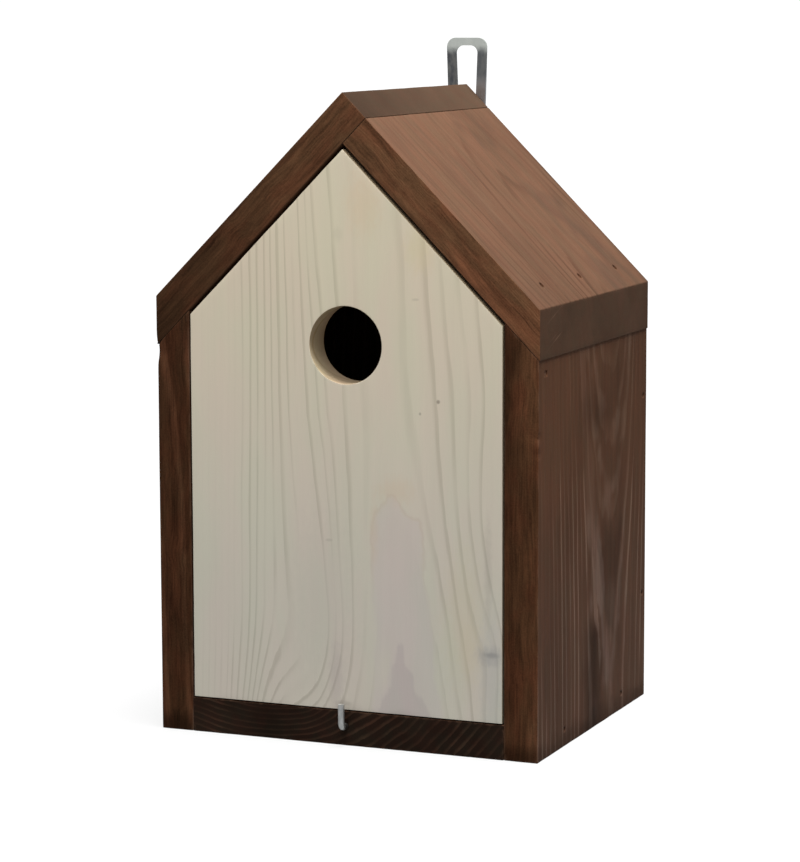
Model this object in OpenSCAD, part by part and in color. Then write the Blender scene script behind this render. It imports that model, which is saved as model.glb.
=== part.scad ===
// Gabled nest box: stained board carcass with a lift-up front panel, a turning latch hook
// below it and a slotted hanger plate on the back. Millimetres, +Z up, front faces -Y.
// The origin is at the centre of the underside of the floor board.

/* [Carcass] */
// Width across the outer faces of the side walls
box_w = 185; // [140:1:240]
// Depth from the front edges to the back edges
box_d = 150; // [110:1:210]
// Height of the outer top edge of the roof at the eaves
eave_h = 201; // [160:1:260]
// Slope of both roof boards, in degrees
roof_pitch = 45; // [40:1:50]
// How far the roof stands out past the walls at each eave
eave_out = 0.5; // [0:0.5:10]
// Thickness of the side walls
wall_t = 16; // [12:0.5:22]
// Thickness of the floor board
floor_t = 16; // [12:0.5:22]
// Thickness of the back panel
back_t = 16; // [12:0.5:22]
// Thickness of the roof boards
roof_t = 16; // [12:0.5:22]

/* [Front panel] */
// Thickness of the front panel
panel_t = 16; // [12:0.5:20]
// Gap between the panel and each side wall
side_gap = 0.8; // [0.4:0.1:2]
// Gap between the panel and the floor board
sill_gap = 0.5; // [0.3:0.1:2]
// Gap between the panel and the roof boards, square to the slope
gable_gap = 1.7; // [1.5:0.1:4]
// Diameter of the entrance hole
hole_d = 35; // [26:1:50]
// Height of the centre of the entrance hole
hole_h = 182; // [140:1:200]
// Sideways place of the entrance hole
hole_x = 1; // [-5:0.5:5]
// Drop of the pivot below the shoulders of the panel
pivot_drop = 21; // [16:0.5:40]
// Distance of the pivot behind the front face
pivot_back = 9; // [7:0.5:10]

/* [Latch hook] */
// Diameter of the hook wire
hook_wire = 3; // [2:0.1:4]
// Height of the screw's axis
hook_h = 9; // [6:0.5:9.5]
// Length of the arm, from the screw's axis to the tip
hook_arm = 11; // [10:0.5:25]
// Gap between the front face and the arm
hook_gap = 3; // [2:0.5:6]
// Radius of the bend, to the middle of the wire
hook_bend = 2.6; // [2.5:0.1:4]
// Length of the screw inside the floor board
hook_screw = 20; // [12:1:40]

/* [Hanger plate] */
// Thickness of the hanger plate
hanger_t = 1.5; // [1:0.1:3]
// Width of the plate at its top
hanger_top_w = 20.4; // [16:0.1:30]
// Width of the plate at its foot
hanger_foot_w = 16; // [14:0.1:30]
// Radius of the plate's corners
hanger_corner = 4.5; // [2:0.1:6]
// How far the plate stands above the ridge
hanger_rise = 22; // [15:1:40]
// How far the plate reaches below the ridge
hanger_drop = 66; // [60:1:90]
// Width of the slot at its top
slot_top_w = 11.2; // [8:0.1:14]
// Width of the slot at its foot
slot_foot_w = 8; // [6:0.1:12]
// Radius of the slot's corners
slot_corner = 3.6; // [2:0.1:4]
// Width of the band above the slot
slot_margin = 3.7; // [3:0.1:8]
// Length of the slot
slot_len = 47; // [40:1:60]

/* [Screws and nails] */
// Shank diameter of the hanger screws
screw_d = 3.5; // [3:0.1:4.5]
// Head diameter of the hanger screws
screw_head_d = 6.8; // [5.5:0.1:8]
// Length of the hanger screws
screw_len = 14; // [10:1:16]
// Distance between the two hanger screws
screw_pitch = 14; // [10:1:20]
// Shank diameter of the nails
nail_d = 1.5; // [1.3:0.1:2.4]
// Head diameter of the nails
nail_head_d = 2; // [1.8:0.1:4]
// Thickness of the nail heads
nail_head_t = 0.8; // [0.5:0.1:1.2]
// How far the nail heads are sunk
nail_sink = 0.5; // [0.4:0.1:2]
// Length of the nails
nail_len = 38; // [30:1:45]
// Shank diameter of the two pivot nails
pivot_d = 2.4; // [2:0.1:4]
// Head diameter of the two pivot nails
pivot_head_d = 3; // [2.6:0.1:5]
// Distance of the outer eave and ridge nails from the middle one
roof_nail_pitch = 50; // [30:1:60]
// Distance of the floor nails from the middle of the walls
floor_nail_out = 40; // [20:1:45]
// Distance of the nails into the back panel from the back edge
back_nail_in = 5; // [4:0.5:8]
// Heights of the nails into the back panel
back_nail_h = [51, 147]; // [30:1:170]

/* [Hidden] */
$fn = 64;
// Half the sizes that are laid out from the middle
half_w = box_w / 2;
half_d = box_d / 2;
half_eave = half_w + eave_out;
inner_half_w = half_w - wall_t;
// Roof: upright thickness, ridge height and the lap of the left board over the right one
roof_upright_t = roof_t / cos(roof_pitch);
ridge_h = eave_h + half_eave * tan(roof_pitch);
ridge_lap = roof_t / sin(2 * roof_pitch);
lap_x = ridge_lap * cos(roof_pitch);
// Front panel outline
panel_half_w = inner_half_w - side_gap;
panel_foot = floor_t + sill_gap;
panel_lower = gable_gap / cos(roof_pitch);
panel_shoulder = under_roof(panel_half_w) - panel_lower;
panel_apex = under_roof(0) - panel_lower;
// Pivot of the front panel
pivot_y = -half_d + pivot_back;
pivot_h = panel_shoulder - pivot_drop;
// Radial clearances: what turns, what is driven in, and past the end of a nail or screw
turn_gap = 0.08;
drive_gap = 0.02;
end_gap = 1;
// Latch hook
hook_y = -half_d - hook_gap - hook_wire / 2;
// Hanger plate
hanger_top = ridge_h + hanger_rise;
hanger_len = hanger_rise + hanger_drop;
hanger_foot = hanger_top - hanger_len;
slot_foot = hanger_top - slot_margin - slot_len;
screw_head_t = (screw_head_d - screw_d) / 2;
screw_low = hanger_foot + screw_head_d;
recess_w = 0.9;
recess_len = 4;
recess_deep = 0.9;
// Nails: the distance from the surface to the nail's top on a slope
slope_sink = nail_sink + nail_head_d / 2 * tan(roof_pitch);
eave_nail_x = half_w - wall_t / 2;
roof_nail_y = [-roof_nail_pitch, 0, roof_nail_pitch];
floor_nail_y = [-floor_nail_out, floor_nail_out];
nail_h = floor_t / 2;
back_nail_y = half_d - back_nail_in;
// A cut runs this far past the surface that it opens
past = 5;

carcass_brown = [0.28, 0.18, 0.13];
roof_brown = [0.45, 0.32, 0.25];
floor_brown = [0.16, 0.11, 0.08];
panel_cream = [0.72, 0.67, 0.58];
zinc = [0.6, 0.61, 0.62];
steel = [0.42, 0.4, 0.38];

ROOF_NAILS = [for (side = ["left_eave", "right_eave", "ridge"], n = [1:3])
    str(side, "_nail_", n)];
WALL_NAILS = [for (side = ["left", "right"], place = ["floor", "back"], n = [1:2])
    str(side, "_", place, "_nail_", n)];

// Height of the underside of the roof at a distance from the middle
function under_roof(x) = ridge_h - roof_upright_t - abs(x) * tan(roof_pitch);

// Height of the top of the roof at a distance from the middle
function over_roof(x) = ridge_h - abs(x) * tan(roof_pitch);

// A board with this outline in X and Z, between two places in Y
module board(outline, front, back) {
    translate([0, back, 0])
        rotate([90, 0, 0])
            linear_extrude(back - front)
                polygon(outline);
}

// A nail along -Z with the top of its head at the origin
module nail(shank_d, head_d) {
    translate([0, 0, -nail_len])
        cylinder(h = nail_len, d = shank_d);
    translate([0, 0, -nail_head_t])
        cylinder(h = nail_head_t, d = head_d);
}

// The hole that this nail fills, open upwards from its head
module nail_hole(shank_d, head_d) {
    translate([0, 0, -nail_len - drive_gap])
        cylinder(h = nail_len, d = shank_d + 2 * drive_gap);
    translate([0, 0, -nail_head_t - drive_gap])
        cylinder(h = nail_head_t + past, d = head_d + 2 * drive_gap);
}

// Places where the nails go: the children point their -Z along the nail
module at_eave_nail(side, y) {
    translate([side * eave_nail_x, y, over_roof(eave_nail_x) - slope_sink])
        children();
}

module at_ridge_nail(y) {
    translate([-roof_t / 2 * cos(roof_pitch), y, ridge_h - roof_t / 2 * sin(roof_pitch)])
        rotate([0, -roof_pitch, 0])
            translate([0, 0, -nail_sink])
                children();
}

module at_wall_nail(side, y, z) {
    translate([side * (half_w - nail_sink), y, z])
        rotate([0, side * 90, 0])
            children();
}

// Every hole for the nails of one side wall, for the pieces they pass through
module wall_nail_holes(side) {
    for (y = floor_nail_y)
        at_wall_nail(side, y, nail_h)
            nail_hole(nail_d, nail_head_d);
    for (z = back_nail_h)
        at_wall_nail(side, back_nail_y, z)
            nail_hole(nail_d, nail_head_d);
}

module eave_nail_holes(side) {
    for (y = roof_nail_y)
        at_eave_nail(side, y)
            nail_hole(nail_d, nail_head_d);
}

module ridge_nail_holes() {
    for (y = roof_nail_y)
        at_ridge_nail(y)
            nail_hole(nail_d, nail_head_d);
}

module floor_board() {
    color(floor_brown)
        difference() {
            translate([-inner_half_w, -half_d, 0])
                cube([2 * inner_half_w, box_d, floor_t]);
            for (side = [-1, 1])
                wall_nail_holes(side);
            translate([0, -half_d + hook_screw + end_gap, hook_h])
                rotate([90, 0, 0])
                    cylinder(h = hook_screw + end_gap + past, d = hook_wire + 2 * turn_gap);
        }
}

// The right wall for side = 1, the left one for side = -1
module wall(side) {
    outline = [
        [side * half_w, 0],
        [side * half_w, under_roof(half_w)],
        [side * inner_half_w, under_roof(inner_half_w)],
        [side * inner_half_w, 0]
    ];
    color(carcass_brown)
        difference() {
            board(outline, -half_d, half_d);
            wall_nail_holes(side);
            eave_nail_holes(side);
            at_wall_nail(side, pivot_y, pivot_h)
                nail_hole(pivot_d, pivot_head_d);
        }
}

module left_wall() {
    wall(-1);
}

module right_wall() {
    wall(1);
}

module back_panel() {
    outline = [
        [-inner_half_w, floor_t],
        [inner_half_w, floor_t],
        [inner_half_w, under_roof(inner_half_w)],
        [0, under_roof(0)],
        [-inner_half_w, under_roof(inner_half_w)]
    ];
    color(carcass_brown)
        difference() {
            board(outline, half_d - back_t, half_d);
            for (side = [-1, 1])
                wall_nail_holes(side);
            for (z = [screw_low, screw_low + screw_pitch])
                at_hanger_screw(z)
                    screw_body(drive_gap);
        }
}

module left_roof_board() {
    outline = [
        [-half_eave, eave_h],
        [-half_eave, eave_h - roof_upright_t],
        [lap_x, over_roof(lap_x)],
        [0, ridge_h]
    ];
    color(roof_brown)
        difference() {
            board(outline, -half_d, half_d);
            eave_nail_holes(-1);
            ridge_nail_holes();
        }
}

module right_roof_board() {
    outline = [
        [half_eave, eave_h],
        [lap_x, over_roof(lap_x)],
        [0, under_roof(0)],
        [half_eave, eave_h - roof_upright_t]
    ];
    color(roof_brown)
        difference() {
            board(outline, -half_d, half_d);
            eave_nail_holes(1);
            ridge_nail_holes();
        }
}

module front_panel() {
    outline = [
        [-panel_half_w, panel_foot],
        [panel_half_w, panel_foot],
        [panel_half_w, panel_shoulder],
        [0, panel_apex],
        [-panel_half_w, panel_shoulder]
    ];
    bore_end = half_w - nail_sink - nail_len - end_gap;
    color(panel_cream)
        difference() {
            board(outline, -half_d, -half_d + panel_t);
            translate([hole_x, 0, hole_h])
                rotate([90, 0, 0])
                    cylinder(h = box_d, d = hole_d, $fn = 96);
            for (side = [-1, 1])
                translate([side * bore_end, pivot_y, pivot_h])
                    rotate([0, side * 90, 0])
                        cylinder(h = half_w - bore_end, d = pivot_d + 2 * turn_gap);
        }
}

module left_pivot_nail() {
    color(steel)
        at_wall_nail(-1, pivot_y, pivot_h)
            nail(pivot_d, pivot_head_d);
}

module right_pivot_nail() {
    color(steel)
        at_wall_nail(1, pivot_y, pivot_h)
            nail(pivot_d, pivot_head_d);
}

// Wire bent square: a screw into the floor board, a bend and an arm that stands up
module latch_hook() {
    screw_y = -half_d + hook_screw;
    color(zinc) {
        translate([0, screw_y, hook_h])
            rotate([90, 0, 0])
                cylinder(h = screw_y - hook_y - hook_bend, d = hook_wire);
        translate([0, hook_y + hook_bend, hook_h + hook_bend])
            rotate([90, 0, -90])
                rotate([0, 0, 270])
                    rotate_extrude(angle = 90)
                        translate([hook_bend, 0])
                            circle(d = hook_wire, $fn = 32);
        translate([0, hook_y, hook_h + hook_bend])
            cylinder(h = hook_arm - hook_bend, d = hook_wire);
    }
}

// A strip in X and Y with round corners, which may taper from its top to its foot
module rounded_strip(top_w, foot_w, len, corner) {
    top_c = [top_w / 2 - corner, len - corner];
    foot_c = [foot_w / 2 - corner, corner];
    along = (top_c - foot_c) / norm(top_c - foot_c);
    out = corner * [along.y, -along.x];
    right = [
        [foot_c.x, 0],
        foot_c + out,
        top_c + out,
        [top_c.x, len]
    ];
    left = [for (n = [3:-1:0]) [-right[n].x, right[n].y]];
    polygon(concat(right, left));
    for (side = [-1, 1], c = [top_c, foot_c])
        translate([side * c.x, c.y])
            circle(r = corner);
}

// Countersunk head and shank along -Z, with the head's face at the origin
module screw_body(gap) {
    translate([0, 0, -screw_head_t])
        cylinder(h = screw_head_t, d1 = screw_d + 2 * gap, d2 = screw_head_d + 2 * gap);
    translate([0, 0, -screw_len - gap])
        cylinder(h = screw_len + gap, d = screw_d + 2 * gap);
}

module at_hanger_screw(z) {
    translate([0, half_d + hanger_t, z])
        rotate([-90, 0, 0])
            children();
}

module hanger_plate() {
    color(zinc)
        difference() {
            translate([0, half_d + hanger_t, hanger_foot])
                rotate([90, 0, 0])
                    linear_extrude(hanger_t)
                        difference() {
                            rounded_strip(hanger_top_w, hanger_foot_w, hanger_len, hanger_corner);
                            translate([0, slot_foot - hanger_foot])
                                rounded_strip(slot_top_w, slot_foot_w, slot_len, slot_corner);
                        }
            for (z = [screw_low, screw_low + screw_pitch])
                at_hanger_screw(z)
                    screw_body(drive_gap);
        }
}

module hanger_screw(z) {
    color(zinc)
        at_hanger_screw(z)
            difference() {
                screw_body(0);
                for (turn = [0, 90])
                    rotate([0, 0, turn])
                        translate([-recess_len / 2, -recess_w / 2, -recess_deep])
                            cube([recess_len, recess_w, recess_deep + past]);
            }
}

// Nails by name: the eave nails go straight down, the rest square into their boards
module eave_nail(side, y) {
    color(steel)
        at_eave_nail(side, y)
            nail(nail_d, nail_head_d);
}

module ridge_nail(y) {
    color(steel)
        at_ridge_nail(y)
            nail(nail_d, nail_head_d);
}

module wall_nail(side, y, z) {
    color(steel)
        at_wall_nail(side, y, z)
            nail(nail_d, nail_head_d);
}

floor_board();
left_wall();
right_wall();
back_panel();
left_roof_board();
right_roof_board();
front_panel();
left_pivot_nail();
right_pivot_nail();
latch_hook();
hanger_plate();
hanger_screw(screw_low + screw_pitch);  // hanger_screw_upper
hanger_screw(screw_low);  // hanger_screw_lower
for (n = [0:2]) {
    eave_nail(-1, roof_nail_y[n]);
    eave_nail(1, roof_nail_y[n]);
    ridge_nail(roof_nail_y[n]);
}
for (side = [-1, 1], n = [0:1]) {
    hand = side < 0 ? "left" : "right";
    wall_nail(side, floor_nail_y[n], nail_h);
    wall_nail(side, back_nail_y, back_nail_h[n]);
}
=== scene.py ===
"""Looks of the gabled nest box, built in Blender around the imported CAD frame.

Every board is its CAD solid cut into a fine mesh. The growth rings are worked out in three
dimensions at each vertex, so that side grain and end grain agree, and they drive colour,
relief and gloss. Metres are used in the scene, and millimetres where the grain is laid out.
"""

import math

import bmesh
import bpy
import numpy as np
from mathutils import Matrix, Vector


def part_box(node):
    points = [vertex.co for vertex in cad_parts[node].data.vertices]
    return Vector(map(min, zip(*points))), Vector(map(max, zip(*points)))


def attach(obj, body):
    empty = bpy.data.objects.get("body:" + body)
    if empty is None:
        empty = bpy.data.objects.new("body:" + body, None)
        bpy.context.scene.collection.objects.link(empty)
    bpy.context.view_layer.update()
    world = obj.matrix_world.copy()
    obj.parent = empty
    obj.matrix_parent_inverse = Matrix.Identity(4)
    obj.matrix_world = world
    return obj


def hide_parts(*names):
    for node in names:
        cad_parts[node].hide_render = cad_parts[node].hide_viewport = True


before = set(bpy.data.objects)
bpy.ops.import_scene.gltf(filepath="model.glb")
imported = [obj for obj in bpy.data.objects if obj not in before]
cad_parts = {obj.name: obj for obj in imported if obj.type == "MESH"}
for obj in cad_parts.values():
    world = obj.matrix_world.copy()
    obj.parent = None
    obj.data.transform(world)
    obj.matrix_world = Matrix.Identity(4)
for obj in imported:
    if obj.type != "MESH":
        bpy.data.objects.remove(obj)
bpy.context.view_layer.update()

MM = 0.001
PITCH = math.radians(45)
PITCH_SINE = math.sin(PITCH)
SLOPE = Vector((math.cos(PITCH), 0, PITCH_SINE))

# ---------------------------------------------------------------- places from the frame

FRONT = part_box("front_panel")[0].y
wall_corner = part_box("right_wall")[1]
HALF_W = wall_corner.x
BACK = wall_corner.y
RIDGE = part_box("left_roof_board")[1].z


# ---------------------------------------------------------------- noise

LATTICE = 64


def value_noise(points, seed):
    """Smooth noise from -1 to 1 at points that are given in cells of the noise."""
    table = np.random.default_rng(seed).uniform(-1, 1, (LATTICE,) * 3)
    base = np.floor(points).astype(int)
    part = points - base
    part = part * part * (3 - 2 * part)
    total = np.zeros(len(points))
    for corner in np.ndindex(2, 2, 2):
        share = np.prod(np.where(corner, part, 1 - part), axis=1)
        total += share * table[tuple(((base + corner) % LATTICE).T)]
    return total


def layered_noise(u, v, w, cell, seed, layers=3):
    """Noise in layers that halve in size, with cell = its size across, along and into the board."""
    points = np.stack([u / cell[0], v / cell[1], w / cell[2]], axis=1)
    return sum(value_noise(points * 2**n, seed + n) / 2**n for n in range(layers))


def soft_step(value, low, high):
    """0 below low, 1 above high, and smooth between."""
    t = np.clip((value - low) / (high - low), 0, 1)
    return t * t * (3 - 2 * t)


def soft_excess(value, start, width):
    """0 below start and value - start above it, with a smooth corner of this width."""
    return width * np.log1p(np.exp(np.clip((value - start) / width, -30, 30)))


def bell(value, middle, spread):
    """1 in the middle, falling off smoothly on both sides."""
    return np.exp(-(((value - middle) / spread) ** 2) / 2)


# ---------------------------------------------------------------- growth rings, in millimetres
# Each takes places across (u), along (v) and into (w) its board, and gives the count of rings
# from the pith.

# The width of one ring.
PANEL_RING = 4.5
WALL_RING = 8.0
PLAIN_RING = 4.6
ROOF_RING = 6.0
FLOOR_RING = 3.9

# Where the middle of the arches is, across, and how deep the wall's heart lies at its foot.
PANEL_MIDDLE = 27
WALL_MIDDLE = 24
WALL_HEART = 51


def uneven(u, v, w, seed, fine=0.10, broad=0.30):
    """How far the rings stray from smooth surfaces, in rings."""
    return (fine * layered_noise(u, v, w, (8, 55, 8), seed)
            + broad * layered_noise(u, v, w, (26, 130, 26), seed + 40, layers=2))


def along_rings(rings, row, seed):
    """Noise that changes only from ring to ring."""
    return value_noise(np.stack([rings, rings * 0 + row[0], rings * 0 + row[1]], axis=1), seed)


def panel_rings(u, v, w):
    """Flat-sawn board: nested arches right of the middle, and lines that flare at its foot."""
    middle = PANEL_MIDDLE + 0.09 * (82 - v) * soft_step(u, -42, -12)
    middle = middle + 0.08 * np.clip(150 - v, 0, 110) * bell(u, -16, 11)
    flare = 19 * bell(u, -20, 18) * np.clip((66 - v) / 50, 0, 1.3) ** 2
    spread = u - middle + flare
    spread = spread * (1 - 0.17 * soft_step(v, 97, 172) * (spread > 0))
    depth = 29.2 - 0.075 * soft_excess(140 - v, 0, 14) + w
    rings = np.hypot(spread, depth) / PANEL_RING + 0.10 * soft_excess(-46 - u, 0, 3)
    knot = 0.9 * bell(u, 72, 7) * bell(v, 46, 16)
    rings = rings - knot + uneven(u, v, w, 11, 0.09, 0.10)
    return rings + 0.45 * along_rings(rings * 0.9, (0.5, 0.5), 13) * (u < 5)


def wall_aside(u):
    """Across from the middle of the arches, which are steeper on their rear side."""
    return (u - WALL_MIDDLE) * (1 + 0.35 * (u > WALL_MIDDLE))


def wall_depth(v, w):
    """From the heart, which slopes towards the outer face as it goes up."""
    return WALL_HEART - 0.0009 * v * v - w


def wall_radius(u, v, w):
    """From the heart, square to the grain."""
    return np.hypot(wall_aside(u), wall_depth(v, w))


def wall_rings(u, v, w):
    """Flat-sawn board: broad uneven arches that point down, behind the middle of the wall."""
    beside = 0.085 * soft_excess(-8 - u, 0, 3) + 0.03 * soft_excess(u - 44, 0, 3)
    return wall_radius(u, v, w) / WALL_RING - 0.52 + beside + uneven(u, v, w, 21, 0.16, 0.22)


def plain_rings(u, v, w):
    """Flat-sawn board whose pith lies behind it and drifts along its length."""
    radius = np.hypot(u - 8 + 0.06 * v, 34 - 0.05 * v + w)
    return radius / PLAIN_RING + uneven(u, v, w, 31)


def roof_rings(u, v, w):
    """Flat-sawn board: arches that point up to the ridge on the rear half."""
    depth = 46.8 - 0.17 * v + w
    lean = 0.12 * (v - 60) * (1 - soft_step(u, -30, 8))
    return np.hypot(u - 18 - lean, depth) / ROOF_RING - 0.33 + uneven(u, v, w, 61, 0.12, 0.16)


def floor_rings(u, v, w):
    """The heart lies above the board, left of its middle, and the rings there are narrow."""
    depth = 88 - w * (1 + 0.6 * soft_step(u, 4, -24))
    return np.hypot(u + 40, depth) / FLOOR_RING + uneven(u, v, w, 51, 0.16, 0.25)


# How dark or pale a ring's latewood is beside the earlywood, from the same places.


def ring_by_ring(rings, seed):
    """From -1 to 1, much the same within a ring and unlike in the next one."""
    return along_rings(rings * 1.1, (0.3, seed), seed)


def plain_strength(u, v, w, rings):
    """Much the same all over."""
    return 0.7 + 0.3 * ring_by_ring(rings, 3) + 0.3 * layered_noise(u, v, w, (30, 90, 30), 8)


def panel_strength(u, v, w, rings):
    """Strong lines on both sides of the heart, faint ones near the left edge and inside it."""
    outer = (1 - 0.92 * (1 - soft_step(u, -54, -44)) + 0.25 * bell(u, -28, 12)
             + 2.4 * bell(v, 26, 14) * bell(u, -26, 20))
    outer = outer * (1 - 0.42 * bell(u, 1, 9)) * (1 - 0.10 * soft_step(u, 30, 40))
    inner = 0.10 + 0.90 * soft_step(rings, 5.7, 6.3)
    heart = np.clip(panel_heart(u, v, w, rings), 0, 1)
    contrast = 1.5 - 0.8 * soft_step(u, -12, -34)
    return (0.95 + contrast * ring_by_ring(rings, 12)
            + 0.5 * layered_noise(u, v, w, (12, 40, 12), 18)) * outer * inner * (1 - 0.9 * heart)


def wall_strength(u, v, w, rings):
    """Faint arches, and stronger lines beside them that fade out towards the top."""
    foot = 1 - 0.85 * soft_step(v, 90, 140)
    front = 1 - 0.65 * soft_step(u, -44, -52) * soft_step(v, 20, 60)
    rear = 1 - 0.35 * soft_step(u, 38, 48)
    lines = (0.70 + 0.9 * ring_by_ring(rings, 27)) * foot * front * rear
    inside = wall_radius(u, v, w) < 52
    lines = np.where(inside, 0.22 + 0.2 * ring_by_ring(rings, 27), lines)
    return lines * (1 + 0.7 * layered_noise(u, v, w, (8, 32, 8), 28))


def floor_strength(u, v, w, rings):
    """Faint, apart from a few rings right of the hook and further out."""
    clear = bell(u, 12, 9) + 0.75 * bell(u, 55, 11) + 0.4 * bell(u, -20, 12) + 0.6 * bell(u, -64, 6)
    return (0.30 + 0.75 * clear) * (0.9 + 0.5 * ring_by_ring(rings, 53)
                                    + 0.7 * layered_noise(u, v, w, (8, 30, 5), 54))


def roof_strength(u, v, w, rings):
    """Patchy, and fainter towards the ridge."""
    lines = 0.45 + 0.5 * ring_by_ring(rings, 62) + 0.8 * layered_noise(u, v, w, (16, 40, 16), 68)
    return lines * (0.45 + 0.55 * soft_step(v, 15, 70)) * (0.65 + 0.35 * soft_step(u, -40, -10))


# Broad marks in the grain, from 0 to 1.


def no_figure(u, v, w, rings):
    """No marks at all."""
    return np.zeros(len(u))


def panel_heart(u, v, w, rings):
    """The violet heart inside the innermost arch, with a knobby top and a darker core at its foot."""
    ragged = 2.4 * layered_noise(u, v, w, (8, 14, 8), 15) + layered_noise(u, v, w, (3, 5, 3), 16)
    right = 37.5 + 0.10 * (100 - v) + 0.003 * np.clip(50 - v, 0, 50) ** 2
    top = 111 - 0.035 * (u - 24) ** 2
    heart = (soft_step(u + 0.5 * ragged, 12.6, 15.6) * soft_step(right - u + 0.7 * ragged, -1.4, 1.6)
             * soft_step(top - v + 2.2 * ragged, -3, 3))
    heart = heart * (1 - 0.75 * bell(u, 20, 3.5) * bell(v, 36, 8))
    core = soft_step((50 - v) * 0.27 - abs(u - 27) + 0.8 * ragged, -1.0, 1.4)
    core = np.maximum(core, 0.8 * soft_step((28 - v) * 0.5 - abs(u - 37) + 0.5 * ragged, -1, 1.2))
    return heart + 1.3 * core


def wall_arch(u, v, w, rings):
    """One broad pale arch, its legs wider the higher they go, and broken towards the top."""
    ragged = 1.1 * layered_noise(u, v, w, (7, 16, 7), 25) + 0.5 * layered_noise(u, v, w, (3, 9, 3), 24)
    calm = 0.28 + 0.72 * soft_step(abs(wall_aside(u)), 3, 16)
    radius = wall_radius(u, v, w) + calm * ragged
    left = soft_step(u, 26, 14)
    tip = 0.5 * bell(wall_aside(u), 0, 7)
    inside = 49.4 + tip - 0.05 * np.clip(v - 45, 0, 100) * left
    outside = 50.9 + 4.6 * bell(v, 97, 23) * left
    band = soft_step(radius, inside - 0.6, inside + 0.9) * soft_step(v + 2 * ragged, 10, 19)
    band = band * (1 - soft_step(radius, outside - 0.7, outside + 0.9))
    worn = 0.80 + 0.45 * layered_noise(u, v, w, (8, 20, 8), 26)
    faint = 1 - 0.75 * soft_step(v, 84, 108) * left - 0.75 * soft_step(v, 96, 116) * (1 - left)
    frayed = radius + 0.9 * layered_noise(u, v, w, (9, 9, 9), 36)
    broken = soft_step(layered_noise(u, v, w, (10, 14, 10), 38), -0.5, 0.5)
    above = np.zeros(len(u))
    for place, half in ((41.2, 1.9), (34.6, 2.0)):
        above += 0.50 * broken * (1 - soft_step(abs(frayed - place), half - 1, half + 1))
    flecks = 0.6 * bell(u, -4, 1.6) * bell(v, 59, 4) + 0.45 * bell(u, 2.5, 1.8) * bell(v, 9, 4)
    return np.clip(band * worn * faint + above * worn + flecks, 0, 1)


def roof_patches(u, v, w, rings):
    """Dark cloudy patches, mostly on the rear half."""
    cloud = layered_noise(u, v, w, (17, 26, 17), 65)
    return soft_step(cloud, 0.1, 0.9) * (0.35 + 0.65 * soft_step(u, -20, 20))


# ---------------------------------------------------------------- board meshes

ARRIS = 0.45 * MM
PANEL_ARRIS = 0.6 * MM
GRID = 1.6 * MM
GRID_DEEP = 3 * MM
MERGE = 1e-6
SLIVER = 0.02 * MM
FLAT = math.radians(0.5)
SHARP = math.radians(20)
CREASE = math.radians(50)
SHORT_EDGE = 5 * MM
LARGE_FACE = 150 * MM * MM


def joined_solid(node):
    """A mesh of a CAD node whose coplanar triangles are joined into faces."""
    bm = bmesh.new()
    bm.from_mesh(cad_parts[node].data)
    bmesh.ops.remove_doubles(bm, verts=bm.verts, dist=MERGE)
    bmesh.ops.dissolve_limit(
        bm, angle_limit=FLAT, use_dissolve_boundaries=False,
        verts=bm.verts, edges=bm.edges, delimit=set(),
    )
    return bm


def sharp_edges(bm, shortest):
    """The edges to round off: the sharp ones that are longer than this."""
    return [e for e in bm.edges if e.calc_length() > shortest and e.calc_face_angle(0) > SHARP]


def slice_along(bm, axis, pitch):
    """Cuts the mesh by planes square to axis, a pitch apart."""
    axis = Vector(axis)
    places = [axis.dot(v.co) for v in bm.verts]
    low, high = min(places), max(places)
    count = max(1, round((high - low) / pitch))
    for n in range(1, count):
        geom = bm.verts[:] + bm.edges[:] + bm.faces[:]
        place = axis * (low + (high - low) * n / count)
        bmesh.ops.bisect_plane(bm, geom=geom, dist=MERGE, plane_co=place, plane_no=axis)


class Board:
    """A board's own directions: across, along the grain, and in from its outer face."""

    def __init__(self, node, origin, across, along, into, rings, strength, figure, tone):
        self.node = node
        self.origin = Vector(origin)
        self.axes = [Vector(across), Vector(along), Vector(into)]
        self.rings = rings
        self.strength = strength
        self.arris = PANEL_ARRIS if node == "front_panel" else ARRIS
        self.figure = figure
        self.tone = tone

    def places(self, points):
        """Points of the frame as millimetres across, along and into the board."""
        axes = np.array([list(a) for a in self.axes])
        return ((points - np.array(self.origin)) @ axes.T) / MM


# How light the stain or paint is drawn, with some painted shade, from places in the board and from how
# far the surface faces the same way as the broad faces and as the ends.

# The roof's stain changes over this length down the slope from the ridge, in millimetres.
ROOF_FADE = 132


def foot_tone(u, v, w, broad, end):
    """Darker along the foot of a wall, and more so on its edges."""
    clear_of_foot = soft_step(v + 3 * layered_noise(u, v, w, (9, 9, 9), 5), 1, 11)
    return (0.62 - 0.18 * (1 - broad)) * (1 - clear_of_foot) + clear_of_foot


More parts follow.
